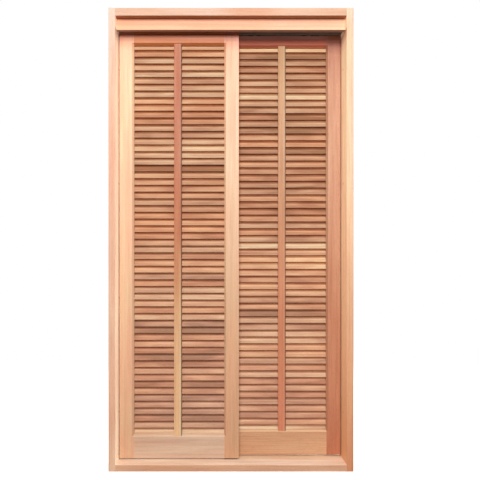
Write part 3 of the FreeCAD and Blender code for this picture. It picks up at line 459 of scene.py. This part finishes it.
# what a CAD node is made of, one box per loose solid
def solidsOf(name):
    work = bmesh.new()
    work.from_mesh(nodes[name].data)
    bmesh.ops.remove_doubles(work, verts=work.verts, dist=1e-6)
    left = set(work.verts)
    boxes = []
    while left:
        stack = [left.pop()]
        found = []
        while stack:
            vert = stack.pop()
            found.append(vert.co.copy())
            for edge in vert.link_edges:
                other = edge.other_vert(vert)
                if other in left:
                    left.remove(other)
                    stack.append(other)
        low = Vector(min(co[k] for co in found) for k in range(3))
        high = Vector(max(co[k] for co in found) for k in range(3))
        boxes.append((low, high))
    work.free()
    return sorted(boxes, key=lambda box: tuple(round(v, 5) for v in (box[0].z, box[0].x, box[0].y)))


# Geometry Nodes helpers
def startTree(name, inputs):
    tree = bpy.data.node_groups.new(name, "GeometryNodeTree")
    tree.interface.new_socket("Geometry", in_out="INPUT", socket_type="NodeSocketGeometry")
    for label, kind in inputs.items():
        tree.interface.new_socket(label, in_out="INPUT", socket_type="NodeSocket" + kind)
    tree.interface.new_socket("Geometry", in_out="OUTPUT", socket_type="NodeSocketGeometry")
    return tree, put(tree, "NodeGroupInput").outputs


def endTree(tree, geometry, material):
    whole = put(tree, "GeometryNodeRealizeInstances", {"Geometry": geometry}).outputs[0]
    done = put(tree, "GeometryNodeSetMaterial", {"Geometry": whole, "Material": material}).outputs[0]
    put(tree, "NodeGroupOutput", {0: done})
    return tree


def chance(tree, seed, low=0.0, high=1.0):
    sockets = {2: low, 3: high, "Seed": seed}
    return put(tree, "FunctionNodeRandomValue", sockets, data_type="FLOAT").outputs[1]


def store(tree, geometry, label, value, domain, kind="FLOAT"):
    sockets = {"Geometry": geometry, "Name": label, "Value": value}
    return put(tree, "GeometryNodeStoreNamedAttribute", sockets, data_type=kind, domain=domain).outputs[0]


def stations(name, points, stains=None):
    mesh = bpy.data.meshes.new(name)
    mesh.from_pydata([tuple(p) for p in points], [], [])
    if stains:
        mark = mesh.attributes.new("stain", "FLOAT", "POINT")
        mark.data.foreach_set("value", stains)
    carrier = bpy.data.objects.new(name, mesh)
    scene.collection.objects.link(carrier)
    return carrier


def grow(carrier, tree, values, name):
    modifier = carrier.modifiers.new("grow", "NODES")
    modifier.node_group = tree
    for item in tree.interface.items_tree:
        if item.in_out == "INPUT" and item.name in values:
            modifier[item.identifier] = values[item.name]
    bpy.context.view_layer.update()
    graph = bpy.context.evaluated_depsgraph_get()
    mesh = bpy.data.meshes.new_from_object(carrier.evaluated_get(graph), depsgraph=graph)
    carrier.modifiers.clear()
    piece = bpy.data.objects.new(name, mesh)
    mesh.name = name
    scene.collection.objects.link(piece)
    bpy.data.objects.remove(carrier)
    return piece


# slats: one rounded blade on every station of the louvre
slatLook = {
    "grain": "x", "shift": (0.2, 0.1, 0.6), "streak": 0.38, "ring": 0.14, "gloss": 0.22,
    "broadField": (24.0, 0.20, 2, 0.5, 0.4), "deep": (149, 89, 62), "worn": (217, 178, 144),
    "ramp": [(0.0, (228, 188, 145)), (0.25, (218, 169, 129)), (0.50, (205, 150, 113)),
             (0.72, (189, 132, 98)), (0.88, (172, 115, 84)), (1.0, (154, 103, 71))],
    "swing": 0.36, "hueEnds": ((1.10, 1.10, 1.07), (1.02, 1.26, 1.42)),
    # from the lower edge, 0, to the upper edge, 1: a band of painted light, a dark line of painted shade, and
    # painted light behind it that lifts the shade back up
    "recess": [(0.20, 0.48, (1.20, 1.21, 1.22)), (0.50, 0.53, (0.48, 0.38, 0.31)),
               (0.56, 0.80, (2.3, 2.3, 2.3))],
}
slats = {
    "thickness": 0.007, "rounding": 6, "nose": 0.49,      # nose: radius of the edges over the thickness
    "wobble": math.radians(0.35),
    "tonePower": 1.3, "toneSpread": 0.38,                 # the random part of a slat's tone
    "hueHeights": (0.2, 1.9), "hueTrend": (-0.46, 0.22),  # pinker toward the foot
    "grainShift": (4.0, 0.3, 0.3),
    # the lot of boards has tone foot below from and tone top above to
    # tones: slats that stand out, counted from the foot, 0 pale to 1 dark
    "front": {"seed": 11, "foot": 0.68, "top": 0.43, "from": 0.2, "to": 0.9,
              "tones": {0: 0.36, 3: 0.78, 5: 0.84, 15: 0.98, 28: 0.66, 39: 1.0, 42: 0.26,
                        51: 0.52, 57: 0.30}},
    "rear": {"seed": 23, "foot": 0.41, "top": 0.56, "from": 0.95, "to": 1.3,
             "tones": {0: 0.16, 10: 0.62, 15: 0.74, 17: 0.98, 24: 0.24, 25: 0.26, 27: 0.14, 31: 0.62,
                       34: 0.55, 41: 0.98, 49: 0.20, 51: 0.60, 53: 0.76, 56: 0.0}},
}


def slatTree():
    tree, size = startTree("slatColumn", {
        "Length": "Float", "Width": "Float", "Thickness": "Float", "Tilt": "Float", "Wobble": "Float",
        "Rounding": "Int", "Seed": "Int", "Foot": "Float", "Top": "Float", "From": "Float", "To": "Float",
        "Material": "Material"})
    half = maths(tree, "MULTIPLY", size["Length"], 0.5)
    ends = {"Start": combine(tree, X=maths(tree, "MULTIPLY", half, -1.0)), "End": combine(tree, X=half)}
    run = put(tree, "GeometryNodeCurvePrimitiveLine", ends)
    edge = put(tree, "GeometryNodeCurvePrimitiveQuadrilateral",
               {"Width": size["Width"], "Height": size["Thickness"]})
    radius = maths(tree, "MULTIPLY", size["Thickness"], slats["nose"])
    nose = put(tree, "GeometryNodeFilletCurve",
               {"Curve": edge.outputs[0], "Count": size["Rounding"], "Radius": radius}, mode="POLY")
    blade = put(tree, "GeometryNodeCurveToMesh",
                {"Curve": run.outputs[0], "Profile Curve": nose.outputs[0], "Fill Caps": True}).outputs[0]
    # how far up behind its neighbour a point lies, on either face; the painted shade and painted light on the
    # slats follow it
    spot = put(tree, "GeometryNodeInputPosition").outputs[0]
    up = maths(tree, "ADD", maths(tree, "DIVIDE", component(tree, spot, "Y"), size["Width"]), 0.5)
    backFace = maths(tree, "LESS_THAN", component(tree, spot, "Z"), 0.0)
    depth = maths(tree, "ABSOLUTE", maths(tree, "SUBTRACT", up, backFace))
    blade = store(tree, blade, "slatDepth", depth, "POINT")
    jitter = maths(tree, "MULTIPLY", chance(tree, size["Seed"], -1.0, 1.0), size["Wobble"])
    turn = combine(tree, X=maths(tree, "ADD", size["Tilt"], jitter))
    column = put(tree, "GeometryNodeInstanceOnPoints",
                 {"Points": size["Geometry"], "Instance": blade, "Rotation": turn}).outputs[0]
    toneSeed, shiftSeed, hueSeed = (maths(tree, "ADD", size["Seed"], step) for step in (1.0, 2.0, 3.0))
    # tone: the lot's own at that height and a random part, or what the station says
    height = component(tree, put(tree, "GeometryNodeInputPosition").outputs[0], "Z")
    trend = spread(tree, height, size["From"], size["To"], size["Foot"], size["Top"])
    luck = maths(tree, "POWER", chance(tree, toneSeed), slats["tonePower"])
    usual = maths(tree, "ADD", trend, maths(tree, "MULTIPLY", luck, slats["toneSpread"]))
    stain = put(tree, "GeometryNodeInputNamedAttribute", {"Name": "stain"}, data_type="FLOAT").outputs[0]
    unmarked = maths(tree, "LESS_THAN", stain, 0.0)
    tone = maths(tree, "ADD", maths(tree, "MULTIPLY", usual, unmarked), maths(tree, "MAXIMUM", stain, 0.0))
    hueTrend = spread(tree, height, *slats["hueHeights"], *slats["hueTrend"])
    hue = maths(tree, "ADD", chance(tree, hueSeed), hueTrend, True)
    reach = slats["grainShift"]
    shift = put(tree, "FunctionNodeRandomValue", {0: tuple(-v for v in reach), 1: reach, "Seed": shiftSeed},
                data_type="FLOAT_VECTOR").outputs[0]
    column = store(tree, column, "slatTone", tone, "INSTANCE")
    column = store(tree, column, "slatHue", hue, "INSTANCE")
    column = store(tree, column, "grainShift", shift, "INSTANCE", "FLOAT_VECTOR")
    return endTree(tree, column, size["Material"])


slatColumn = slatTree()
slatWood = woodFinish("slatWood", slatLook)
for leaf in leaves:
    own = slats[leaf]
    boxes = solidsOf(leaf + "_leaf_slats")
    stains = [own["tones"].get(k, -1.0) for k in range(len(boxes))]  # below 0: no tone of its own
    carrier = stations(leaf + "SlatStations", [(low + high) / 2 for low, high in boxes], stains)
    extent = boxes[0][1] - boxes[0][0]
    run, rise = extent.y - slats["thickness"], extent.z - slats["thickness"]
    louvre = grow(carrier, slatColumn, {
        "Length": extent.x, "Width": math.hypot(run, rise) + slats["thickness"],
        "Thickness": slats["thickness"], "Tilt": math.atan2(rise, run), "Wobble": slats["wobble"],
        "Rounding": slats["rounding"], "Seed": own["seed"], "Foot": own["foot"], "Top": own["top"],
        "From": own["from"], "To": own["to"], "Material": slatWood,
    }, leaf + "Louvre")
    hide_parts(leaf + "_leaf_slats")
    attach(louvre, leaf + "_leaf")
    print(leaf, "louvre", len(boxes), "slats,", len(louvre.data.polygons), "faces")


# metal and nylon: fine lines, soft patches and rubbed edges
metalBase = {
    "lineField": (3, 0.6), "patchField": (3, 0.55),       # detail, roughness
    "patchLimits": (0.35, 0.68), "lineLimits": (0.5, 0.8, 0.0, 0.35),
    "rubRadius": 0.0008, "rubLimits": (0.4, 0.6, 0.2, 0.8),
    "roughFrom": (0.3, 0.8), "roughSwing": (-0.08, 0.12), "bumpDepth": 0.0002, "stretch": (1, 1, 1),
}
metalLooks = {
    "zincSteel": {"light": (196, 196, 190), "dark": (150, 150, 146), "worn": (222, 222, 218),
                  "lineScale": 900.0, "patchScale": 160.0, "rough": 0.34, "bump": 0.10, "metal": 1.0},
    "castZinc": {"light": (150, 150, 152), "dark": (116, 116, 118), "worn": (186, 186, 186),
                 "lineScale": 1500.0, "patchScale": 90.0, "rough": 0.52, "bump": 0.35, "metal": 0.9},
    "bronzeTrack": {"light": (150, 130, 118), "dark": (120, 102, 92), "worn": (178, 158, 142),
                    "lineScale": 700.0, "patchScale": 5.0, "rough": 0.46, "bump": 0.15, "metal": 0.35,
                    "stretch": (0.01, 1, 1)},
    "blackNylon": {"light": (46, 45, 44), "dark": (30, 30, 30), "worn": (92, 90, 88),
                   "lineScale": 2200.0, "patchScale": 220.0, "rough": 0.55, "bump": 0.20, "metal": 0.0},
}


def metalFinish(name, look):
    values = {**metalBase, **look}
    light, dark, worn = (linear(values[key]) for key in ("light", "dark", "worn"))
    material, tree, shader = startMaterial(name)
    place = put(tree, "ShaderNodeTexCoord").outputs["Object"]
    lines = cloud(tree, squeeze(tree, place, values["stretch"]), values["lineScale"], *values["lineField"])
    patch = cloud(tree, place, values["patchScale"], *values["patchField"])
    tone = mixTone(tree, spread(tree, patch, *values["patchLimits"]), light, dark)
    tone = mixTone(tree, spread(tree, lines, *values["lineLimits"]), tone, dark)
    rubbed = spread(tree, patch, *values["rubLimits"])
    tone = mixTone(tree, maths(tree, "MULTIPLY", edgeMask(tree, values["rubRadius"]), rubbed), tone, worn)
    smooth, dull = (values["rough"] + swing for swing in values["roughSwing"])
    rough = spread(tree, lines, *values["roughFrom"], smooth, dull)
    coat(tree, shader, tone, rough, lines, values["bump"], values["bumpDepth"])
    shader.inputs["Metallic"].default_value = values["metal"]
    return material


metals = {name: metalFinish(name, look) for name, look in metalLooks.items()}
for leaf in leaves:
    dress(leaf + "_track", metals["bronzeTrack"])
    dress(leaf + "_track_stops", metals["blackNylon"])
    for side in ("left", "right"):
        hanger = leaf + "_leaf_" + side + "_"
        dress(hanger + "carriage", metals["castZinc"])
        for part in ("hanger_plate", "hanger_bolt", "lock_nut"):
            dress(hanger + part, metals["zincSteel"])
    dress(leaf + "_leaf_axles", metals["zincSteel"])
    for number in range(1, 5):
        dress(leaf + "_leaf_wheels_%d" % number, metals["blackNylon"])
dress("floor_guide", metals["blackNylon"])
print("hardware finished")


# screws: a turned head with a cross recess on every place that the CAD has one
screwShapes = {
    "sunk": {"headRadius": 0.005, "headDepth": 0.003, "shank": 0.0025, "dome": 0.0,
             "cross": 0.0032, "crossWidth": 0.0011, "crossDepth": 0.0016},
    "sunkSmall": {"headRadius": 0.0038, "headDepth": 0.0024, "shank": 0.002, "dome": 0.0,
                  "cross": 0.0024, "crossWidth": 0.0009, "crossDepth": 0.0013},
    "pan": {"headRadius": 0.0038, "shank": 0.002, "dome": 0.0024,
            "cross": 0.0022, "crossWidth": 0.0009, "crossDepth": 0.0013},
}
turning = {
    "sides": 24, "seed": 5, "spin": 6.283,                # spin: every screw stops at its own angle
    "domeRows": ((1.0, 0.72), (0.88, 0.90), (0.55, 1.0)),  # share of the dome's height, of the head's radius
    "rimShare": 0.97, "rimDrop": 0.0002,                  # broken edge of a sunk head
    "tipFrom": 0.85, "tipShare": 0.35,                    # where the point begins, and how thin it ends
    "crossTaper": 0.7,                                    # floor of the recess over its mouth
}
# node, shape, body, which way the head looks
screwSets = [
    ("left_frame_screws", "sunk", "frame", toLeft), ("right_frame_screws", "sunk", "frame", toRight),
    ("fascia_screws", "sunk", "frame", toTop), ("track_screws", "pan", "frame", toFloor),
    ("floor_guide_screws", "sunkSmall", "frame", toTop),
    ("front_leaf_hanger_screws", "pan", "front_leaf", toTop),
    ("rear_leaf_hanger_screws", "pan", "rear_leaf", toTop),
]


def loopPairs(verts):
    return list(zip(verts, verts[1:] + verts[:1]))


def turnedScrew(name, shape, length):
    work = bmesh.new()
    radius, shank, top = shape["headRadius"], shape["shank"], shape["dome"]
    if top:
        rows = [(top * high, radius * wide) for high, wide in turning["domeRows"]]
        rows += [(0.0, radius), (0.0, shank)]
    else:
        rows = [(0.0, radius * turning["rimShare"]), (-turning["rimDrop"], radius)]
        rows += [(-shape["headDepth"], shank)]
    rows += [(-length * turning["tipFrom"], shank), (-length, shank * turning["tipShare"])]
    angles = [2 * math.pi * k / turning["sides"] for k in range(turning["sides"])]
    rings = [[work.verts.new((r * math.cos(a), r * math.sin(a), z)) for a in angles] for z, r in rows]
    for upper, lower in zip(rings, rings[1:]):
        for (a, b), (c, d) in zip(loopPairs(upper), loopPairs(lower)):
            work.faces.new((a, c, d, b))
    work.faces.new(list(reversed(rings[-1])))
    arm, half = shape["cross"], shape["crossWidth"] / 2
    plus = [(arm, -half), (arm, half), (half, half)]
    for quarter in range(3):  # the other three arms, each a quarter turn on
        plus += [(-y, x) for x, y in plus[-3:]]
    rim = [work.verts.new((x, y, top)) for x, y in plus]
    taper, bottom = turning["crossTaper"], top - shape["crossDepth"]
    floor = [work.verts.new((x * taper, y * taper, bottom)) for x, y in plus]
    for (a, b), (c, d) in zip(loopPairs(rim), loopPairs(floor)):
        work.faces.new((a, b, d, c))
    work.faces.new(floor)
    edges = [work.edges.get(pair) for pair in loopPairs(rim) + loopPairs(rings[0])]
    bmesh.ops.triangle_fill(work, use_beauty=True, use_dissolve=False, edges=edges)
    bmesh.ops.recalc_face_normals(work, faces=work.faces)
    mesh = bpy.data.meshes.new(name)
    work.to_mesh(mesh)
    work.free()
    screw = bpy.data.objects.new(name, mesh)
    scene.collection.objects.link(screw)
    return screw


def screwTree():
    inputs = {"Screw": "Object", "Turn": "Rotation", "Seed": "Int", "Material": "Material"}
    tree, size = startTree("screwSet", inputs)
    shape = put(tree, "GeometryNodeObjectInfo", {"Object": size["Screw"]}).outputs["Geometry"]
    spin = combine(tree, Z=chance(tree, size["Seed"], 0.0, turning["spin"]))
    own = put(tree, "FunctionNodeEulerToRotation", {0: spin}).outputs[0]
    turned = put(tree, "FunctionNodeRotateRotation", {0: size["Turn"], 1: own},
                 rotation_space="LOCAL").outputs[0]
    driven = put(tree, "GeometryNodeInstanceOnPoints",
                 {"Points": size["Geometry"], "Instance": shape, "Rotation": turned}).outputs[0]
    return endTree(tree, driven, size["Material"])


screwSet = screwTree()
for number, (name, kind, body, way) in enumerate(screwSets):
    shape = screwShapes[kind]
    axis = max(range(3), key=lambda k: abs(way[k]))
    boxes = solidsOf(name)
    places = []
    for low, high in boxes:
        spot = (low + high) / 2
        face = high[axis] if way[axis] > 0 else low[axis]
        spot[axis] = face - way[axis] * shape["dome"]
        places.append(spot)
    length = boxes[0][1][axis] - boxes[0][0][axis] - shape["dome"]
    screw = turnedScrew(name + "Blank", shape, length)
    piece = grow(stations(name + "Places", places), screwSet, {
        "Screw": screw, "Turn": Vector(toTop).rotation_difference(Vector(way)).to_euler(),
        "Seed": turning["seed"] + number, "Material": metals["zincSteel"],
    }, name + "Turned")
    bpy.data.objects.remove(screw)
    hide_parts(name)
    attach(piece, body)
print("screws driven")


# a pale floor that fades out
floorLook = {
    "colour": (250, 250, 248), "rough": 0.7, "glow": 0.30,
    "half": 4.5, "drop": 0.0005, "fade": (1.4, 3.6),      # drop: just below the part
}
mesh = bpy.data.meshes.new("floor")
corners = [(-1, -1), (1, -1), (1, 1), (-1, 1)]
mesh.from_pydata([(x * floorLook["half"], y * floorLook["half"], -floorLook["drop"]) for x, y in corners],
                 [], [(0, 1, 2, 3)])
floor = bpy.data.objects.new("floor", mesh)
scene.collection.objects.link(floor)
floorPaint, tree, shader = startMaterial("floorPaint")
shader.inputs["Base Color"].default_value = linear(floorLook["colour"])
shader.inputs["Roughness"].default_value = floorLook["rough"]
shader.inputs["Emission Color"].default_value = (1, 1, 1, 1)
shader.inputs["Emission Strength"].default_value = floorLook["glow"]
place = put(tree, "ShaderNodeTexCoord").outputs["Object"]
away = put(tree, "ShaderNodeVectorMath", {0: place}, operation="LENGTH").outputs["Value"]
near, far = floorLook["fade"]
fade = put(tree, "ShaderNodeMapRange", {0: away, 1: near, 2: far},
           interpolation_type="SMOOTHSTEP").outputs[0]
clear = put(tree, "ShaderNodeBsdfTransparent")
both = put(tree, "ShaderNodeMixShader", {0: fade, 1: shader.outputs[0], 2: clear.outputs[0]})
tree.links.new(both.outputs[0], tree.nodes["Material Output"].inputs[0])
mesh.materials.append(floorPaint)
floor.visible_diffuse = False  # no bounce from below, so that shadows stay deep

# white sky for the camera, a soft warm one for the light
skyLook = {
    "rise": (-0.25, 0.6), "strength": (0.18, 0.45),       # from below to above
    "behind": (0.0, 0.9), "extra": 0.45,                  # more from the back
    "blend": (-0.3, 0.2), "low": (1.0, 0.70, 0.52), "high": (1.0, 0.985, 0.965),
}
world = bpy.data.worlds.new("studioSky")
world.use_nodes = True
scene.world = world
tree = world.node_tree
tree.nodes.clear()
way = put(tree, "ShaderNodeSeparateXYZ", {0: put(tree, "ShaderNodeTexCoord").outputs["Generated"]}).outputs
above = spread(tree, way["Z"], *skyLook["rise"], *skyLook["strength"])
behind = spread(tree, way["Y"], *skyLook["behind"], 0.0, skyLook["extra"])
seen = put(tree, "ShaderNodeBackground", {"Color": (1, 1, 1, 1), "Strength": 1.0}).outputs[0]
lowGlow, highGlow = skyLook["low"] + (1.0,), skyLook["high"] + (1.0,)
glow = mixTone(tree, spread(tree, way["Z"], *skyLook["blend"]), lowGlow, highGlow)
strength = maths(tree, "ADD", above, behind)
fill = put(tree, "ShaderNodeBackground", {"Color": glow, "Strength": strength}).outputs[0]
ray = put(tree, "ShaderNodeLightPath").outputs["Is Camera Ray"]
both = put(tree, "ShaderNodeMixShader", {0: ray, 1: fill, 2: seen})
put(tree, "ShaderNodeOutputWorld", {0: both.outputs[0]})

# each strip lights the inner face of the jamb across from it, the low one what hangs behind the fascia
lamps = {
    "keySoftbox": {"power": 335.0, "place": (0.0, -5.0, 3.3), "aim": (0, 0, 1.2), "size": (2.6, 2.0)},
    "leftStrip": {"power": 62.0, "place": (-2.6, -1.7, 1.3), "aim": (0.5, 0, 1.0), "size": (0.6, 2.4),
                  "only": ["right_jamb"]},
    "rightStrip": {"power": 80.0, "place": (2.6, -1.7, 1.3), "aim": (-0.5, 0, 1.0), "size": (0.6, 2.4),
                   "only": ["left_jamb"]},
    "lowSoftbox": {"power": 14.0, "place": (0.0, -3.2, 0.7), "aim": (0, 0, 2.03), "size": (1.6, 0.4),
                   "only": ["front_track", "rear_track", "rear_leaf_top_rail"], "colour": (1.0, 0.88, 0.80)},
    "backSoftbox": {"power": 345.0, "place": (3.2, 7.4, 2.6), "aim": (0, 0, 1.1), "size": (3.0, 1.0)},
}
for name, lamp in lamps.items():
    data = bpy.data.lights.new(name, "AREA")
    data.energy = lamp["power"]
    data.color = lamp.get("colour", plain)
    data.shape = "RECTANGLE"
    data.size, data.size_y = lamp["size"]
    light = bpy.data.objects.new(name, data)
    light.location = lamp["place"]
    light.rotation_euler = (Vector(lamp["aim"]) - Vector(lamp["place"])).to_track_quat("-Z", "Y").to_euler()
    light.visible_camera = False
    scene.collection.objects.link(light)
    if "only" in lamp:
        lit = bpy.data.collections.new(name + "Lit")
        for item in lamp["only"]:
            lit.objects.link(nodes[item])
        light.light_linking.receiver_collection = lit

camera = {
    "place": (0.0, -2.285, 0.890), "lens": 36.6, "sensor": 36.0, "shift": (0.01875, 0.0729), "reach": 200,
}
view = bpy.data.cameras.new("camera")
view.lens = camera["lens"]
view.sensor_width = camera["sensor"]
view.shift_x, view.shift_y = camera["shift"]
view.clip_end = camera["reach"]
eye = bpy.data.objects.new("camera", view)
eye.location = camera["place"]
eye.rotation_euler = (math.pi / 2, 0, 0)  # level, looking to the back
scene.collection.objects.link(eye)
scene.camera = eye
scene.view_settings.view_transform = "Standard"
print("studio ready")
